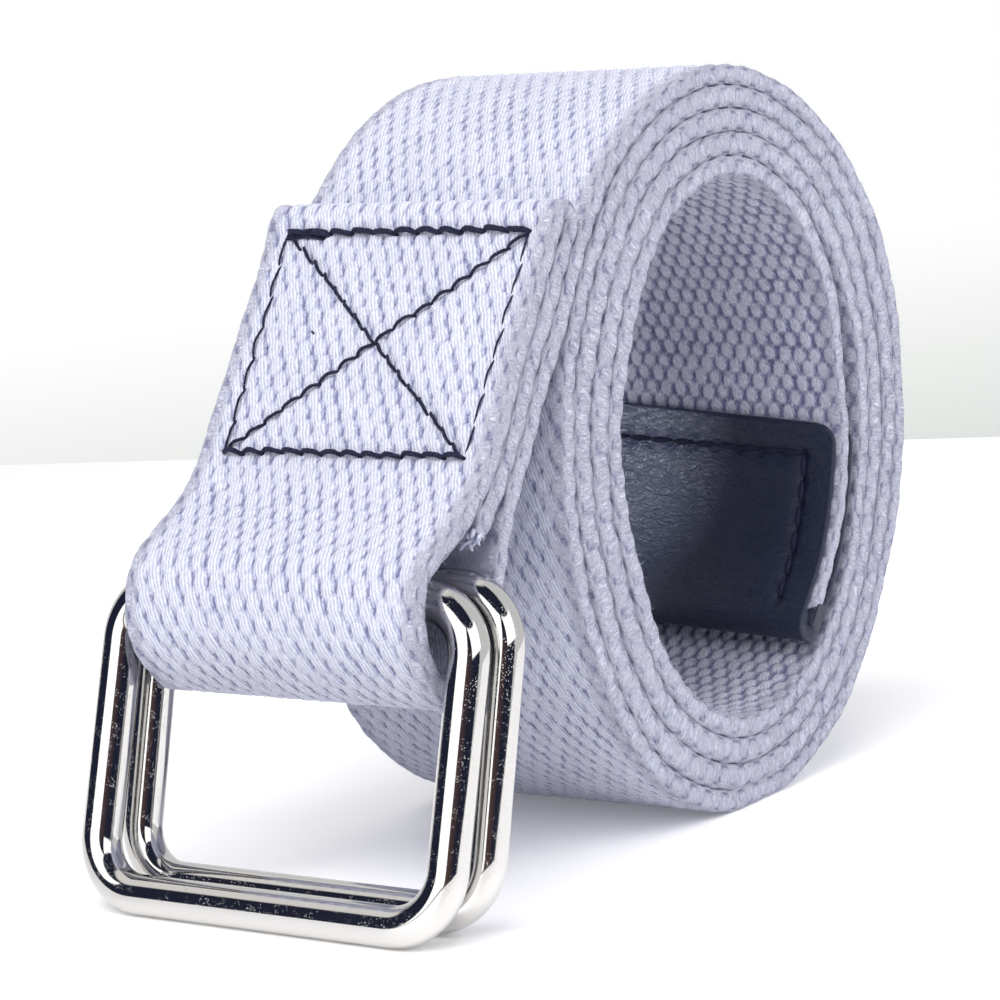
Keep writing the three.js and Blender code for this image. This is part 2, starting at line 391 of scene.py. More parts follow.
def mesh_object(name, points, faces, material, uv=None, values=None):
    """A piece on the strap, from points in millimetres, with the cloth's map and values by point."""
    mesh = bpy.data.meshes.new(name)
    mesh.from_pydata((points * MM).tolist(), [], faces)
    mesh.polygons.foreach_set("use_smooth", [True] * len(mesh.polygons))
    if uv is not None:
        layer = mesh.uv_layers.new(name="cloth")
        layer.data.foreach_set("uv", uv.ravel())
    for key, value in (values or {}).items():
        attribute = mesh.attributes.new(key, "FLOAT", "POINT")
        attribute.data.foreach_set("value", np.ascontiguousarray(value).ravel())
    mesh.validate()
    obj = bpy.data.objects.new(name, mesh)
    bpy.context.scene.collection.objects.link(obj)
    mesh.materials.append(material)
    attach(obj, "strap")
    return obj


def tip_skew(x, s):
    """The strap's inner end is turned a little, so its cut edge runs uphill to one side."""
    return -TIP_SKEW * (TIP_HALF_WIDTH - x) * share(s - route.length, -60, -26)


def edge_stand_out(s):
    """How far the strap's edges wander, stand out beside the leather and draw in inside its fold."""
    wander = 0.10 * np.sin(s * 0.21) + 0.07 * np.sin(s * 0.47 + 1.3)
    wider = STRAP_WIDER_BY_TIP * np.clip((s - route.length + TIP_LENGTH + 3) / 4, 0, 1)
    wider -= STRAP_NARROWER_IN_FOLD * np.clip((s - route.length + 2.0) / 0.5, 0, 1)
    return wander + wider


def cloth_map(around, around_next, s):
    """Places round and along the cloth for the corners of every quad and of both caps."""
    corners = []
    for across, along in ((around, s[:-1]), (around_next, s[:-1]), (around_next, s[1:]), (around, s[1:])):
        corners.append(np.stack(np.broadcast_arrays(across, along), -1))
    quads = np.stack(corners, 2).reshape(-1, 2)
    first = np.stack(np.broadcast_arrays(around, s[0]), -1)[::-1]
    last = np.stack(np.broadcast_arrays(around, s[-1]), -1)
    return np.vstack([quads, first, last])


def keep_caps_sharp(obj):
    """Keeps the end caps from rounding the shading of the cloth next to them."""
    mesh = obj.data
    caps = {tuple(sorted(key)) for face in list(mesh.polygons)[-2:] for key in face.edge_keys}
    sharp = [tuple(sorted(edge.vertices)) in caps for edge in mesh.edges]
    mesh.attributes.new("sharp_edge", "BOOLEAN", "EDGE").data.foreach_set("value", sharp)


def strap_piece(name, start, end, fine_outside, fine_inside, detail=4):
    """A stretch of the strap from start to end, woven in relief where it shows."""
    rows, pitch = section(fine_outside, fine_inside, detail)
    x0, n0, nx, nn, around, fine = rows.T
    count = max(2, round((end - start) / (PICK / detail)))
    s = np.linspace(start, end, count + 1)[:, None]

    inner_face = (n0 < 0) & (start > 0)
    half_width = np.where(inner_face, INSIDE_HALF_WIDTH, FLOAT_HALF_WIDTH)
    half_length = np.where(inner_face, INSIDE_HALF_LENGTH, FLOAT_HALF_LENGTH)
    slant = np.where(inner_face, INSIDE_SLANT, FLOAT_SLANT)
    height = weave_height(around / pitch, s / PICK, half_width, half_length, slant)
    height = np.where(fine > 0, height, PLAIN_HEIGHT)
    rise = RELIEF * (height - 1.0) * (1 - EDGE_FLATTER * np.abs(nx)) + CROWN_LIFT

    room_out, room_in = route.room(s)
    fuller = np.where(n0 > 0, room_out, room_in)
    across = n0 * (1 + fuller / HALF_THICK) + nn * rise
    if start == 0.0:
        across += sewing_pull(x0, s) * (n0 < 0) * (np.abs(nx) < 0.5)

    place, _, normal = route.at(s + tip_skew(x0, s))
    x = x0 + nx * rise + edge_stand_out(s) * np.sign(x0) * (np.abs(nx) > 0)
    y = place[..., 0] + normal[..., 0] * across
    z = np.maximum(place[..., 1] + normal[..., 1] * across, 0.02)
    points = np.stack([x, y, z], -1).reshape(-1, 3)

    uv = cloth_map(around, np.append(around[1:], pitch * WARPS_AROUND), s)
    values = {
        "yarn_height": height,
        # edge marks the strap's edges, for their tangle and for their painted glow
        "edge": np.broadcast_to(share(np.abs(x0), 16.6, 18.2), height.shape),
        # inside marks the turns' inner face, for its own strand look and for its painted shade
        "inside": np.broadcast_to(np.where(inner_face & (np.abs(x0) < 18), 1.0, 0.0), height.shape),
    }
    piece = mesh_object(name, points, ring_faces(count + 1, len(around)), WEBBING, uv, values)
    keep_caps_sharp(piece)
    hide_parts("strap")
    return piece


def build_strap():
    """The sewn end is the hem, the fold, the front and the loop; the rest is the coil."""
    outer_start = route.run_at_angle(COIL_START_DEG) - 4.0
    middle_start = route.run_at_angle(OUTER_TURN_END_DEG)
    inner_start = route.run_at_angle(INNER_TURN_START_DEG)
    strap_piece("strap_sewn_end", 0.0, outer_start, False, True, detail=5)
    strap_piece("strap_outer_turn", outer_start, middle_start, True, False)
    strap_piece("strap_middle_turns", middle_start, inner_start, False, False)
    strap_piece("strap_inner_turn", inner_start, route.length, False, True)


# Box of stitches, by place across the strap and distance below the top of the hanging end
BOX_LINES = {
    # name: (first corner, second corner, stitch length, thread thickness, how far it stands out)
    "top": ((-15.8, 2.25), (16.3, 2.15), 2.8, 0.70, 0.34),
    "bottom": ((-15.8, 29.2), (15.9, 29.0), 2.75, 0.60, 0.30),
    "left": ((-15.9, 2.3), (-15.6, 29.1), 3.6, 0.27, -0.02),
    "right": ((16.2, 2.2), (15.9, 29.0), 3.9, 0.22, -0.20),
    "down": ((-15.4, 2.3), (15.8, 29.0), 2.56, 0.42, 0.14),
    "up": ((16.0, 2.6), (-15.4, 28.8), 2.56, 0.40, 0.12),
}
BOX_TOP = float(route.tab_runs[TAB_FRONT_TOP])
PULL_DEPTH = 0.26
PULL_WIDTH = 0.75


def line_distance(x, y, a, b):
    """Distance from the points (x, y) to the line from a to b."""
    ux, uy = b[0] - a[0], b[1] - a[1]
    t = np.clip(((x - a[0]) * ux + (y - a[1]) * uy) / (ux * ux + uy * uy), 0, 1)
    return np.hypot(x - a[0] - t * ux, y - a[1] - t * uy)


def sewing_pull(x, s):
    """How far the thread pulls the cloth in, in millimetres."""
    pull = np.zeros(np.broadcast(x, s).shape)
    for a, b, _, _, _ in BOX_LINES.values():
        away = line_distance(x, s - BOX_TOP, a, b)
        pull = np.maximum(pull, PULL_DEPTH * np.exp(-(away / PULL_WIDTH) ** 2))
    return pull


def front_face_point(x, s, out):
    """A place on the sewn end's front face, the given distance out of it."""
    place, _, normal = route.at(s)
    return np.column_stack([x, place - normal * (HALF_THICK + out)[:, None]])


def tube(path, radii, sides=6, turn=0.0):
    """Rings of points along a path, and the faces that join them, closed at both ends."""
    path = np.asarray(path, float)
    ahead = np.gradient(path, axis=0)
    ahead /= np.linalg.norm(ahead, axis=1)[:, None] + 1e-12
    side = np.cross(ahead, (0.36, -0.61, 0.70))
    side /= np.linalg.norm(side, axis=1)[:, None] + 1e-12
    other = np.cross(ahead, side)
    angle = 2 * np.pi * np.arange(sides) / sides + turn
    radii = np.broadcast_to(radii, len(path))[:, None, None]
    rings = path[:, None, :] + radii * (np.cos(angle)[None, :, None] * side[:, None, :]
                                        + np.sin(angle)[None, :, None] * other[:, None, :])
    return rings.reshape(-1, 3), ring_faces(len(path), sides)


def join(shapes):
    """Several shapes' points and faces as one."""
    points, faces, start = [], [], 0
    for shape_points, shape_faces in shapes:
        points.append(shape_points)
        faces += [tuple(start + i for i in face) for face in shape_faces]
        start += len(shape_points)
    return np.vstack(points), faces


def loose_hair(root, lean, length, thick):
    """One short curling fibre, three-sided and thin."""
    lean = np.array(lean, float)
    lean = lean / np.linalg.norm(lean) + chance.normal(0, 0.45, 3)
    lean /= np.linalg.norm(lean)
    curl = np.cross(lean, chance.normal(0, 1, 3))
    curl /= np.linalg.norm(curl) + 1e-9
    length = length * chance.uniform(0.4, 1.3)
    t = np.linspace(0, 1, 4)[:, None]
    bend = chance.uniform(0.1, 0.7) * length
    twist = np.cross(lean, curl) * 0.2 * length * np.sin(4 * t)
    path = root + lean * length * t + curl * bend * t * t + twist
    return tube(path, thick * np.array([1, 0.9, 0.7, 0.3]), 3)


def sewn_line(name, a, b, length, thick, out):
    """One line of the box: a row of slanted stitches that sink in at their ends, each a little hairy."""
    shapes = []
    t = np.linspace(0, 1, 11)
    arch = np.sin(np.pi * t) ** 0.7
    whole = math.dist(a, b)
    count = round(whole / length)
    slant = 0.20 if name == "down" else 0.12
    ux, uy = (b[0] - a[0]) / whole, (b[1] - a[1]) / whole
    for i in range(count):
        shift = chance.normal(0, 0.05, 2)
        half = slant * (1 + 0.3 * chance.normal())
        run = whole * (i + t * 1.12 - 0.06) / count
        off = half * (2 * t - 1) + 0.05 * chance.normal() + 0.05 * np.sin(t * 9 + i)
        x = a[0] + ux * run - uy * off + shift[0] * t * (1 - t) * 4
        s = a[1] + uy * run + ux * off + shift[1] * t * (1 - t) * 4
        height = -0.55 + (0.62 + out + 0.05 * chance.normal()) * arch
        path = front_face_point(x, BOX_TOP + s, height)
        radius = thick / 2 * (0.70 + 0.30 * arch) * (1 + 0.08 * np.sin(t * 22 + i))
        shapes.append(tube(path, radius, 8, turn=i))
        for _ in range(3):
            at = chance.integers(2, 9)
            shapes.append(loose_hair(path[at], (0.2, -0.6, 0.4), 0.5, 0.014))
    return shapes


def locking_threads():
    """The sewing starts and ends with some threads side by side in one corner of the box."""
    shapes = []
    for i in range(5):
        x = np.linspace(-15.9, -10.4, 9) + chance.normal(0, 0.08)
        s = np.full(9, 1.9 + 0.22 * i) + 0.10 * np.sin(x * 1.7 + i * 2.1)
        height = 0.05 + 0.10 * np.sin(x * 2.3 + i) - 0.25 * np.abs(np.linspace(-1, 1, 9)) ** 4
        shapes.append(tube(front_face_point(x, BOX_TOP + s, height), 0.15))
    return shapes


def thread_speck():
    """A cut end of thread that lies on the cloth beside the cross."""
    x = np.array([-8.5, -8.3, -8.1])
    s = np.array([14.5, 14.6, 14.8])
    return tube(front_face_point(x, BOX_TOP + s, np.full(3, 0.02)), 0.12)


def build_box_stitches():
    shapes = []
    for name, line in BOX_LINES.items():
        shapes += sewn_line(name, *line)
    shapes += locking_threads()
    shapes.append(thread_speck())
    stitches = mesh_object("box_stitches", *join(shapes), THREAD)


def edge_fibre(s, side):
    """A fibre that stands off one of the strap's edges near s."""
    place, ahead, normal = route.at(s + chance.uniform(-0.4, 0.4))
    angle = chance.uniform(-1.2, 1.2)
    x = side * (STRAP_WIDTH / 2 - EDGE_ROUND + EDGE_ROUND * math.cos(angle) - 0.12)
    across = HALF_THICK * math.sin(angle)
    root = np.array([x, *(place + normal * across)])
    slope = ahead * chance.uniform(-1.1, 1.1) + normal * across
    return loose_hair(root, (side, *slope), *EDGE_FIBRE)


def face_fibre():
    """A fibre on a face that shows: the sewn end's front or the coil's outside."""
    if chance.random() < 0.4:
        run, sign = chance.uniform(BOX_TOP, BOX_TOP + 58), -1.0
    else:
        run, sign = chance.uniform(route.coil_runs[0] - 3, route.coil_runs[0] + 250), 1.0
    place, ahead, normal = route.at(run)
    root = np.array([chance.uniform(-18, 18), *(place + sign * normal * (HALF_THICK - 0.1))])
    lean = sign * normal * 0.35 + ahead * chance.normal(0, 1)
    return loose_hair(root, (chance.normal(0, 1), *lean), *FACE_FIBRE)


def build_fuzz():
    """Short fibres that stand off the strap's edges and faces, more of them on the open side."""
    shapes = []
    for side in (1.0, -1.0):
        for s in np.arange(1.0, route.length - 1, EDGE_FIBRE_SPACING):
            for _ in range(2 if side > 0 else 1):
                shapes.append(edge_fibre(s, side))
    for _ in range(FACE_FIBRES):
        shapes.append(face_fibre())
    fuzz = mesh_object("strap_fuzz", *join(shapes), FUZZ)


def fray_yarn(i, place, ahead, normal):
    """One warp yarn that hangs out of the raw end and bends aside."""
    x = -18.8 + 37.9 * (i + chance.uniform(-0.3, 0.3)) / FRAY_YARNS
    root = np.array([x, *(place + normal * chance.uniform(-0.9, 0.9))])
    length = chance.uniform(0.6, 1.7)
    t = np.linspace(0, 1, 5)[:, None]
    down = np.array([chance.normal(0, 0.35), *(-ahead + normal * chance.normal(0, 0.25))])
    curl = np.array([chance.normal(0, 0.5), *(normal * chance.normal(0, 0.3))])
    path = root + down * length * t + curl * length * t * t
    return tube(path, chance.uniform(0.22, 0.38) * np.array([1, 1, 0.95, 0.8, 0.4]), 5)


def build_hem_fray():
    """Yarn ends and fibres that stick out of the strap's raw end between the layers."""
    place, ahead, normal = route.at(0.2)
    shapes = [fray_yarn(i, place, ahead, normal) for i in range(FRAY_YARNS)]
    for _ in range(FRAY_FIBRES):
        x = chance.uniform(-18.8, 18.8)
        root = np.array([x, *(place + normal * chance.uniform(-1, 1) - ahead * 0.4)])
        shapes.append(loose_hair(root, (0, *(-ahead)), *FRAY_FIBRE))
    fray = mesh_object("hem_fray", *join(shapes), FUZZ)


def tip_path(x):
    """The leather's middle line at x, its normals and distances along it: down the outer leaf,
    round the strap's end and back up the inner leaf."""
    offset = HALF_THICK + TIP_GAP + TIP_THICK / 2
    s = np.arange(route.length - TIP_LENGTH, route.length + 1e-6, TIP_STEP)
    s = s + tip_skew(x, s)
    place, ahead, normal = route.at(s)
    a = np.linspace(0, math.pi, 24)[1:-1, None]
    end = place[-1] + ahead[-1] * (TIP_GAP + TIP_THICK / 2) * np.minimum(1, np.sin(a) * 3)
    fold = end + ahead[-1] * offset * np.sin(a) + normal[-1] * offset * np.cos(a)
    path = np.vstack([place + normal * offset, fold, (place - normal * offset)[::-1]])
    along = np.gradient(path, axis=0)
    along /= np.linalg.norm(along, axis=1)[:, None]
    return path, np.column_stack([-along[:, 1], along[:, 0]]), distances_along(path)


def tip_grooves(x, edge_run):
    """Depth of the stitch grooves at x and the distance from the leaf's cut edge."""
    from_line = np.abs(x) - TIP_STITCH_LINE
    from_row = edge_run - TIP_STITCH_IN
    row = np.hypot(from_row, np.maximum(from_line, 0))
    past_ends = np.maximum(-from_row, 0) + np.maximum(edge_run - TIP_SIDE_GROOVE_END, 0)
    column = np.hypot(from_line, past_ends)
    row_wave = np.abs(np.cos(np.pi * (x - TIP_STITCH_LINE) / TIP_STITCH_PITCH)) ** 3
    column_wave = np.abs(np.cos(np.pi * from_row / TIP_STITCH_PITCH)) ** 3
    row_groove = np.exp(-(row / 0.95) ** 2) * (0.25 + 0.75 * row_wave)
    column_groove = np.exp(-(column / 0.65) ** 2) * (0.30 + 0.70 * column_wave)
    soft = np.maximum(np.exp(-(row / 1.5) ** 2), np.exp(-(column / 1.5) ** 2))
    return 0.52 * np.maximum(row_groove, column_groove) + 0.16 * soft


def tip_section():
    """The leather's cross section: share of the half width, bulge of the side and side of the leaf."""
    face_count, back_count, edge_count = 110, 12, 9
    turns = [math.pi * i / edge_count for i in range(edge_count)]
    points = [(-1 + 2 * i / face_count, 0.0, 1.0) for i in range(face_count)]
    points += [(1.0, math.sin(a), math.cos(a)) for a in turns]
    points += [(1 - 2 * i / back_count, 0.0, -1.0) for i in range(back_count)]
    points += [(-1.0, math.sin(a), -math.cos(a)) for a in turns]
    return np.array(points).T


def tip_widths(run, from_end):
    """Half width along the leather: two leaves with rounded corners, the outer one a little wider."""
    corner = np.clip(TIP_CORNER - from_end, 0, TIP_CORNER)
    outer_leaf = np.clip((run[-1] / 2 + 1.5 - run) / 3.0, 0, 1)
    half = TIP_HALF_WIDTH + TIP_OUTER_WIDER * outer_leaf
    return half - TIP_CORNER + np.sqrt(TIP_CORNER ** 2 - corner ** 2)


def build_tip():
    """One piece of leather folded over the strap's end. Its cut ends are skived thin, and round the
    fold its inside reaches the middle, so that the sides of the fold are closed."""
    _, _, run = tip_path(0.0)
    from_end = np.minimum(run, run[-1] - run)
    half = tip_widths(run, from_end)[:, None]
    offset = HALF_THICK + TIP_GAP
    fold_half = math.pi / 2 * offset + 3.3
    fill = (offset - 0.02) * np.clip((fold_half - np.abs(run - run[-1] / 2)) / 0.9, 0, 1)
    thin = np.sqrt(1 - np.clip(1 - from_end / 0.35, 0, 1) ** 2) * 0.75 + 0.25

    sx, bulge, side = tip_section()
    closed = (fill / fill.max())[:, None] * (side < -0.01) * (np.abs(sx) > 0.999)
    bulge = bulge + (1 - bulge) * closed
    x = sx * (half - TIP_BEVEL) + np.sign(sx) * bulge * TIP_BEVEL
    depth = tip_grooves(x, from_end[:, None]) * (side > 0.99)
    near_side = np.clip((half - TIP_BEVEL - np.abs(x)) / 0.9, 0, 1)
    rounding = 0.05 * (1 - near_side) ** 2 * (side > 0.99)
    across = side * (TIP_THICK / 2) * thin[:, None] - depth - rounding
    across = across - fill[:, None] * (side < 0) * np.abs(side)
    y, z = np.empty_like(x), np.empty_like(x)
    for k, position in enumerate(sx):
        path, normal, _ = tip_path(TIP_HALF_WIDTH * position)
        y[:, k] = path[:, 0] + normal[:, 0] * across[:, k]
        z[:, k] = path[:, 1] + normal[:, 1] * across[:, k]
    points = np.stack([x, y, z], -1).reshape(-1, 3)

    tip = mesh_object("tip_leather", points, ring_faces(len(run), len(sx)), LEATHER)
    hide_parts("leather_tip")


def tip_stitch(x, edge_run, leaf):
    """One thread on a leaf of the leather, low at its ends and fullest in the middle."""
    arch = np.sin(np.pi * np.linspace(0, 1, len(x)))
    points = []
    for at_x, at_edge, lift in zip(x, edge_run, TIP_THICK / 2 - 0.46 + 0.22 * arch):
        path, normal, run = tip_path(at_x)
        at = at_edge if leaf == "outer" else run[-1] - at_edge
        y = np.interp(at, run, path[:, 0]) + lift * np.interp(at, run, normal[:, 0])
        z = np.interp(at, run, path[:, 1]) + lift * np.interp(at, run, normal[:, 1])
        points.append((at_x, y, z))
    return tube(points, 0.14 + 0.26 * arch, 7)


def build_tip_stitches():
    """A row of stitches across each leaf, and one down each of its sides."""
    shapes = []
    t = np.linspace(0, 1, 8)
    lean = 0.12 * (t - 0.5)
    length = 0.92 * TIP_STITCH_PITCH * t
    for leaf in ("outer", "inner"):
        for i in range(round(2 * TIP_STITCH_LINE / TIP_STITCH_PITCH)):
            start = TIP_STITCH_LINE - (i + 0.04) * TIP_STITCH_PITCH
            shapes.append(tip_stitch(start - length, TIP_STITCH_IN + lean, leaf))
        for side in (-TIP_STITCH_LINE, TIP_STITCH_LINE):
            for i in range(TIP_SIDE_STITCHES):
                start = TIP_STITCH_IN + (i + 0.04) * TIP_STITCH_PITCH
                shapes.append(tip_stitch(side + lean, start + length, leaf))
    sewing = mesh_object("tip_stitches", *join(shapes), THREAD)


def clear_selection():
    bpy.ops.object.select_all(action="DESELECT")


def build_ring(name, bar_y, lean, shift):
    """A round wire bent to a ring: extrude along each bar, spin round each corner."""
    half = (RING_INNER_WIDTH + RING_WIRE) / 2 * MM
    height = (RING_INNER_HEIGHT + RING_WIRE) * MM
    r = RING_CORNER * MM
    clear_selection()
    bpy.ops.mesh.primitive_circle_add(vertices=40, radius=RING_WIRE / 2 * MM, location=(0, 0, 0),
                                      rotation=(0, math.pi / 2, 0))
    ring = bpy.context.active_object
    ring.name = name + "_wire"
    bpy.ops.object.mode_set(mode="EDIT")
    bpy.ops.mesh.select_all(action="SELECT")
    corners = [(half - r, -r), (half - r, r - height), (r - half, r - height), (r - half, -r)]
    bars = [(half - r, 0), (0, 2 * r - height), (2 * (r - half), 0), (0, height - 2 * r), (half - r, 0)]
    for step, (along_x, along_z) in enumerate(bars):
        bpy.ops.mesh.extrude_region_move(TRANSFORM_OT_translate={"value": (along_x, 0, along_z)})
        if step < len(corners):
            x, z = corners[step]
            bpy.ops.mesh.spin(steps=18, angle=-math.pi / 2, center=(x, 0, z), axis=(0, 1, 0))
    bpy.ops.mesh.select_all(action="SELECT")
    bpy.ops.mesh.remove_doubles(threshold=1e-6)
    bpy.ops.mesh.normals_make_consistent(inside=False)
    bpy.ops.object.mode_set(mode="OBJECT")
    bpy.ops.object.shade_smooth()
    bar_z = height * math.cos(lean * DEG) + RING_WIRE / 2 * MM
    place = Matrix.Translation((shift * MM, (COIL_Y + bar_y) * MM, bar_z))
    place = place @ Matrix.Rotation(-lean * DEG, 4, "X")
    ring.data.transform(ring.matrix_world)
    ring.matrix_world = Matrix.Identity(4)
    ring.data.transform(place)
    ring.data.materials.append(METAL)
    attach(ring, name)
    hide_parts(name)


class Graph:
    """Short calls for building a node tree."""

    def __init__(self, tree):
        self.tree = tree
        tree.nodes.clear()

    def add(self, kind, values=None, **settings):
        node = self.tree.nodes.new(kind)
        for key, value in settings.items():
            setattr(node, key, value)
        for key, value in (values or {}).items():
            socket = node.inputs[key]
            if isinstance(value, bpy.types.NodeSocket):
                self.tree.links.new(value, socket)
            else:
                socket.default_value = value
        return node

    def math(self, operation, a, b=0.0):
        return self.add("ShaderNodeMath", {0: a, 1: b}, operation=operation).outputs[0]

    def plus(self, a, b):
        return self.math("ADD", a, b)

    def times(self, a, b):
        return self.math("MULTIPLY", a, b)

    def mix(self, factor, a, b, blend="MIX"):
        node = self.add("ShaderNodeMix", {0: factor, 6: a, 7: b}, data_type="RGBA", blend_type=blend)
        return node.outputs[2]

    def ramp(self, value, low, high, to_low=0.0, to_high=1.0):
        return self.add("ShaderNodeMapRange", {0: value, 1: low, 2: high, 3: to_low, 4: to_high}).outputs[0]

    def noise(self, vector, scale, detail=2.0, rough=0.5, distortion=0.0):
        return self.add("ShaderNodeTexNoise", {"Vector": vector, "Scale": scale, "Detail": detail,
                        "Roughness": rough, "Distortion": distortion}).outputs["Fac"]

    def turned(self, vector, rotation=(0, 0, 0), scale=(1, 1, 1)):
        return self.add("ShaderNodeMapping", {"Vector": vector, "Rotation": rotation,
                                              "Scale": scale}).outputs[0]

    def attribute(self, name):
        return self.add("ShaderNodeAttribute", attribute_name=name, attribute_type="GEOMETRY").outputs["Fac"]

    def object_place(self):
        return self.add("ShaderNodeTexCoord").outputs["Object"]

    def bump(self, height, strength, distance):
        return self.add("ShaderNodeBump", {"Strength": strength, "Distance": distance,
                                           "Height": height}).outputs[0]

    def finish(self, values):
        """The surface's shader, with its values by socket, and the output."""
        shader = self.add("ShaderNodeBsdfPrincipled", values)
        self.add("ShaderNodeOutputMaterial", {"Surface": shader.outputs[0]})


def new_material(name):
    material = bpy.data.materials.new(name)
    material.use_nodes = True
    return material, Graph(material.node_tree)


def webbing_material():
    """Slanted strands and fibres on the crowns, painted shade darkening round each float and darker
    painted shade in the gaps between, more painted shade on the turns' inner face; the edges are
    tangled and glow faintly with painted light."""
    crest = (0.66, 0.675, 0.81, 1)
    # Painted shade: a darker colour for the rims of the floats
    painted_rim_shade = (0.36, 0.37, 0.55, 1)
    # Painted shade: a darker rim colour for the turns' inner face
    painted_inside_rim_shade = (0.27, 0.28, 0.46, 1)
    # Painted shade: the darkest colour, for the hollows between floats
    gap = (0.13, 0.13, 0.28, 1)
    # Painted light: the colour of a faint glow for the edges
    edge_painted_glow = (0.035, 0.035, 0.060, 1)
    strand_width = 0.40

    material, g = new_material("webbing")
    uv = g.add("ShaderNodeUVMap", uv_map="cloth").outputs[0]
    height = g.attribute("yarn_height")
    edge = g.attribute("edge")
    inside = g.attribute("inside")

    slanted = g.turned(uv, rotation=(0, 0, -20 * DEG))
    slanted_across = g.add("ShaderNodeSeparateXYZ", {"Vector": slanted}).outputs[0]
    wobble = g.times(g.noise(uv, 0.45), 9.0)
    phase = g.plus(g.times(slanted_across, 2 * math.pi / strand_width), wobble)
    ply = g.ramp(g.math("SINE", phase), -1.0, 1.0)
    fibre = g.noise(g.turned(slanted, scale=(5.6, 1.5, 1.0)), 1.0, 3.0, 0.65, 0.3)
    tangle = g.noise(uv, 2.3, 3.0, 0.65, 2.0)
    fuzz = g.noise(uv, 5.5, 2.0, 0.7)
    cloth = g.noise(uv, 0.12)
    ply_share = g.ramp(inside, 0.0, 1.0, 0.24, 0.08)
    strands = g.plus(g.times(ply, ply_share), g.times(fibre, g.math("SUBTRACT", 1.0, ply_share)))
    strands = g.add("ShaderNodeMix", {0: g.times(edge, 0.9), 2: strands, 3: tangle}).outputs[0]

    # depth is the yarn height, and it steers the painted shade below
    depth = g.plus(height, g.times(g.math("SUBTRACT", fibre, 0.5), 0.6))
    # The edges get a little less of the painted shade
    depth = g.plus(depth, g.times(edge, 0.07))
    # Painted shade: darker towards each float's rim and darkest in the gaps between floats
    color = g.mix(g.ramp(depth, 0.28, 0.68), painted_rim_shade, crest)
    # Painted shade: on the turns' inner face the floats darken further towards their rims
    color = g.mix(g.times(inside, g.ramp(depth, 0.70, 0.25)), color, painted_inside_rim_shade)
    color = g.mix(g.ramp(depth, 0.0, 0.36), gap, color)
    dark = g.ramp(strands, 0.37, 0.61, g.ramp(edge, 0.0, 1.0, 0.66, 0.58), 1.07)
    shade = g.add("ShaderNodeCombineColor", {0: dark, 1: dark, 2: g.math("POWER", dark, 0.85)}).outputs[0]
    color = g.mix(1.0, color, shade, "MULTIPLY")
    tone = g.times(g.ramp(cloth, 0.3, 0.7, 0.96, 1.03), g.ramp(fuzz, 0.35, 0.65, 0.93, 1.05))
    # Painted shade: the turns' inner face is darkened all over
    tone = g.times(tone, g.ramp(inside, 0.0, 1.0, 1.0, 0.86))
    grey = g.add("ShaderNodeCombineColor", {0: tone, 1: tone, 2: tone}).outputs[0]
    color = g.mix(1.0, color, grey, "MULTIPLY")

    relief = g.plus(g.times(strands, 1.3), g.times(fuzz, 0.9))
    relief = g.plus(relief, g.times(g.times(edge, tangle), 4.2))
    # Painted light: the edges glow faintly, which lightens the creases between turns
    painted_edge_glow = g.mix(edge, (0.0, 0.0, 0.0, 1), edge_painted_glow)
    g.finish({"Base Color": color, "Roughness": 0.92, "Normal": g.bump(relief, 0.9, 0.00018),
              "Emission Color": painted_edge_glow, "Emission Strength": 1.0, "Sheen Weight": 0.25,
              "Sheen Roughness": 0.6, "Specular IOR Level": 0.2})
    return material


def fuzz_material():
    """Loose cotton, paler and plainer than the woven cloth."""
    material, g = new_material("fuzz")
    tone = g.noise(g.object_place(), 900.0)
    color = g.mix(tone, (0.45, 0.46, 0.64, 1), (0.66, 0.68, 0.82, 1))
    g.finish({"Base Color": color, "Roughness": 0.9, "Specular IOR Level": 0.2})
    return material


def leather_material():
    """Black leather with pores and fine creases."""
    material, g = new_material("leather")
    where = g.object_place()
    pores = g.add("ShaderNodeTexVoronoi", {"Vector": where, "Scale": 2600.0},
                  feature="DISTANCE_TO_EDGE").outputs[0]
    wrinkle = g.noise(g.turned(where, (0, 24 * DEG, 0), (1.0, 1.0, 1.9)), 820.0, 4.0, 0.6, 1.1)
    tone = g.noise(where, 90.0, 3.0)
    relief = g.plus(g.times(g.ramp(pores, 0.0, 0.5), 0.22), g.times(wrinkle, 1.7))
    color = g.mix(tone, (0.006, 0.009, 0.026, 1), (0.010, 0.014, 0.036, 1))
    g.finish({"Base Color": color, "Roughness": g.ramp(tone, 0.3, 0.7, 0.31, 0.40),
              "Normal": g.bump(relief, 1.0, 0.00016), "Specular IOR Level": 0.45})
    return material


def thread_material():
    """Dark twisted sewing thread."""
    material, g = new_material("thread")
    twist = g.turned(g.object_place(), (0.4, 0.3, 0.9), (3200, 3200, 3200))
    strand = g.add("ShaderNodeTexWave", {"Vector": twist, "Scale": 0.55, "Distortion": 1.5}).outputs["Fac"]
    color = g.mix(strand, (0.004, 0.005, 0.016, 1), (0.018, 0.020, 0.050, 1))
    g.finish({"Base Color": color, "Roughness": 0.6, "Normal": g.bump(strand, 0.6, 0.00008),
              "Specular IOR Level": 0.25})
    return material


def metal_material():
    """Polished plate with a slight ripple and small pits in patches."""
    material, g = new_material("ring_metal")
    where = g.object_place()
    pits = g.add("ShaderNodeTexVoronoi", {"Vector": where, "Scale": 4600.0}).outputs["Distance"]
    pit = g.ramp(pits, 0.05, 0.26, -1.0, 0.0)
    patch = g.ramp(g.noise(where, 420.0, 3.0, 0.7), 0.46, 0.62)
    relief = g.plus(g.times(pit, patch), g.times(g.noise(where, 900.0), 0.16))
    g.finish({"Base Color": (0.64, 0.63, 0.615, 1), "Metallic": 1.0, "Roughness": 0.07,
              "Normal": g.bump(relief, 0.32, 0.00005)})
    return material


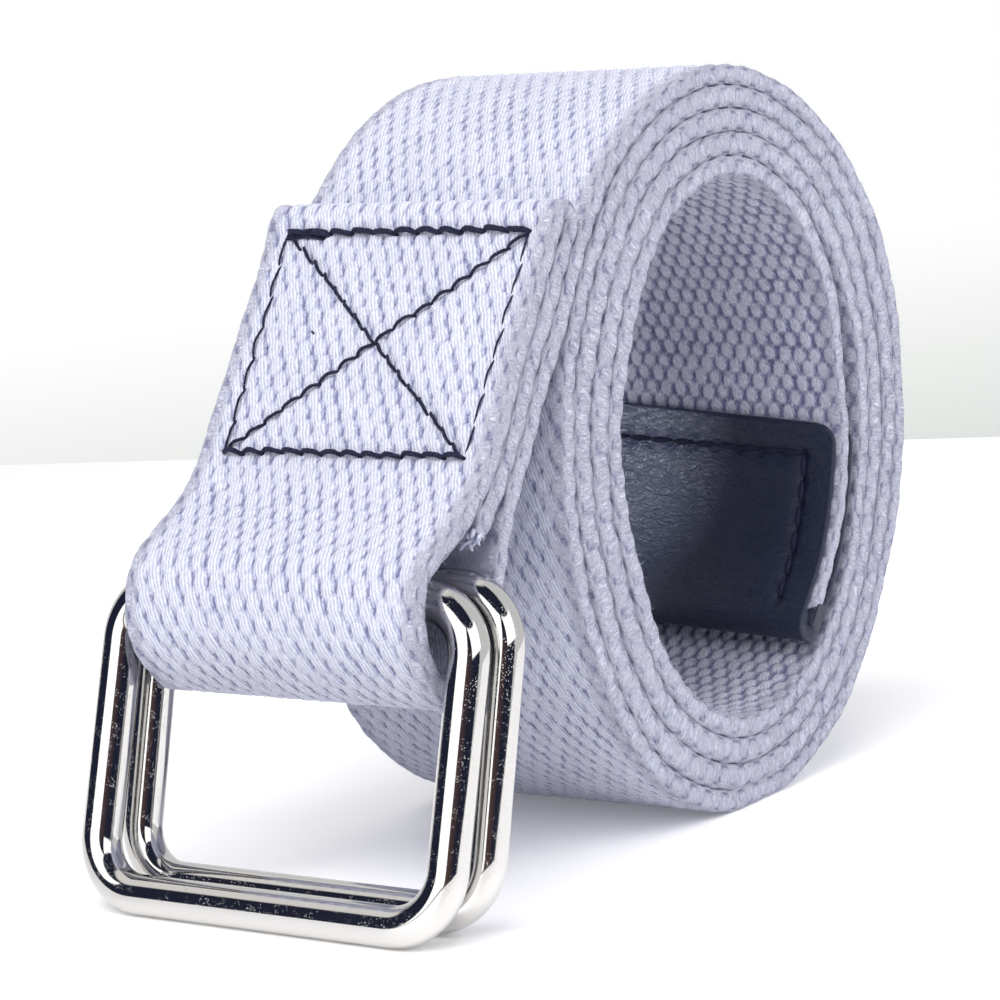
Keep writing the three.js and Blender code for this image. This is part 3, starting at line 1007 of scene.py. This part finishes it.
def floor_material():
    material, g = new_material("floor_paint")
    g.finish({"Base Color": (0.96, 0.96, 0.97, 1), "Roughness": 0.35, "Specular IOR Level": 0.3,
              "Emission Color": (1.0, 1.0, 1.0, 1), "Emission Strength": 0.12})
    return material


def direction(azimuth, elevation):
    """The way towards an azimuth, counted from the front to the right, and an elevation."""
    a, e = azimuth * DEG, elevation * DEG
    return Vector((math.sin(a) * math.cos(e), -math.cos(a) * math.cos(e), math.sin(e)))


def build_camera():
    a, turn = CAMERA_AZIMUTH * DEG, CAMERA_ROLL * DEG
    back = direction(CAMERA_AZIMUTH, CAMERA_ELEVATION)
    level = Vector((math.cos(a), math.sin(a), 0))
    upright = back.cross(level)
    right = level * math.cos(turn) + upright * math.sin(turn)
    up = upright * math.cos(turn) - level * math.sin(turn)
    place = Vector((0, COIL_Y, COIL_Z)) + back * CAMERA_DISTANCE - right * CAMERA_SIDE - up * CAMERA_UP
    data = bpy.data.cameras.new("camera")
    data.lens = LENS
    data.sensor_width = 36
    data.clip_start = 0.01
    camera = bpy.data.objects.new("camera", data)
    bpy.context.scene.collection.objects.link(camera)
    camera.matrix_world = Matrix((
        (right.x, up.x, back.x, place.x * MM),
        (right.y, up.y, back.y, place.y * MM),
        (right.z, up.z, back.z, place.z * MM),
        (0, 0, 0, 1)))
    bpy.context.scene.camera = camera


def build_floor():
    clear_selection()
    bpy.ops.mesh.primitive_plane_add(size=FLOOR_SIZE, location=(0, 0, 0))
    floor = bpy.context.active_object
    floor.name = "floor"
    turned = Matrix.Translation(FLOOR_PLACE) @ Matrix.Rotation(FLOOR_TURN * DEG, 4, "Z")
    floor.data.transform(turned @ Matrix.Translation((0.2, -FLOOR_SIZE / 2, 0)))
    floor.data.materials.append(floor_material())


def soft_box(name, azimuth, elevation, size, power, color):
    """A soft box that lights the object and isn't seen, in the picture or in the metal."""
    data = bpy.data.lights.new(name, "AREA")
    data.shape = "RECTANGLE"
    data.size, data.size_y = size
    data.energy = power
    data.color = color
    light = bpy.data.objects.new(name, data)
    bpy.context.scene.collection.objects.link(light)
    back = direction(azimuth, elevation)
    light.location = Vector(LIGHT_AIM) + back * LIGHT_DISTANCE
    light.rotation_mode = "QUATERNION"
    light.rotation_quaternion = back.to_track_quat("Z", "Y")
    light.visible_glossy = False
    light.visible_camera = False
    return light


def build_lights():
    """The sheen box reaches the leather alone, and is what it mirrors."""
    boxes = {name: soft_box(name, *box) for name, box in LIGHTS.items()}
    leather = bpy.data.collections.new("leather_light")
    leather.objects.link(bpy.data.objects["tip_leather"])
    boxes["sheen_box"].light_linking.receiver_collection = leather
    boxes["sheen_box"].visible_glossy = True


def build_world():
    """A little light all round, a studio of soft boxes and dark gaps for the reflections, and a
    white wall above a pale grey one for the camera."""
    world = bpy.data.worlds.new("studio")
    bpy.context.scene.world = world
    world.use_nodes = True
    g = Graph(world.node_tree)
    look = g.add("ShaderNodeTexCoord").outputs["Generated"]

    def along(azimuth, elevation=0.0):
        return g.add("ShaderNodeVectorMath", {0: look, 1: direction(azimuth, elevation)},
                     operation="DOT_PRODUCT").outputs["Value"]

    def between(value, low, high, soft=0.015):
        rise = g.ramp(value, low - soft, low + soft)
        return g.times(rise, g.ramp(value, high - soft, high + soft, 1.0, 0.0))

    def box(azimuth, half_width, low, high):
        """A rectangle of the sky: azimuth and half width in degrees, lowest and highest sine."""
        reach = math.sin(half_width * DEG)
        side = between(along(azimuth + 90), -reach, reach)
        front = g.ramp(along(azimuth), 0.0, 0.02)
        return g.times(g.times(side, front), between(along(0, 90), low, high))

    dark = (0.020, 0.023, 0.046, 1)
    brown = (0.105, 0.062, 0.058, 1)
    back_wall = (0.78, 0.79, 0.80, 1)
    high_lamp = (0.95, 0.93, 0.90, 1)
    studio = g.mix(g.ramp(along(24), 0.84, 1.0), dark, brown)
    studio = g.mix(g.ramp(along(179), 0.04, 0.10), studio, back_wall)
    studio = g.mix(g.ramp(along(-100, 62), 0.86, 0.90), studio, high_lamp)
    studio = g.mix(box(-5, 26, 0.03, 0.72), studio, (1.9, 1.9, 1.9, 1))
    studio = g.mix(box(78, 25, 0.27, 0.72), studio, (2.0, 2.0, 2.0, 1))

    horizon = g.plus(along(0, 90), g.times(along(-56.5), 0.09))
    backdrop = g.mix(g.ramp(horizon, -0.125, -0.06), (0.755, 0.78, 0.755, 1), (1.0, 1.0, 1.0, 1))
    fill = (0.05, 0.05, 0.065, 1)
    paths = g.add("ShaderNodeLightPath")
    color = g.mix(paths.outputs["Is Glossy Ray"], fill, studio)
    color = g.mix(paths.outputs["Is Camera Ray"], color, backdrop)
    background = g.add("ShaderNodeBackground", {"Color": color, "Strength": 1.0})
    g.add("ShaderNodeOutputWorld", {"Surface": background.outputs[0]})


WEBBING = webbing_material()
FUZZ = fuzz_material()
LEATHER = leather_material()
THREAD = thread_material()
METAL = metal_material()

build_camera()
build_strap()
for ring_name, ring in RINGS.items():
    build_ring(ring_name, *ring)
build_tip()
build_tip_stitches()
build_box_stitches()
build_hem_fray()
build_fuzz()
build_floor()
build_world()
build_lights()
bpy.context.scene.view_settings.view_transform = "Standard"
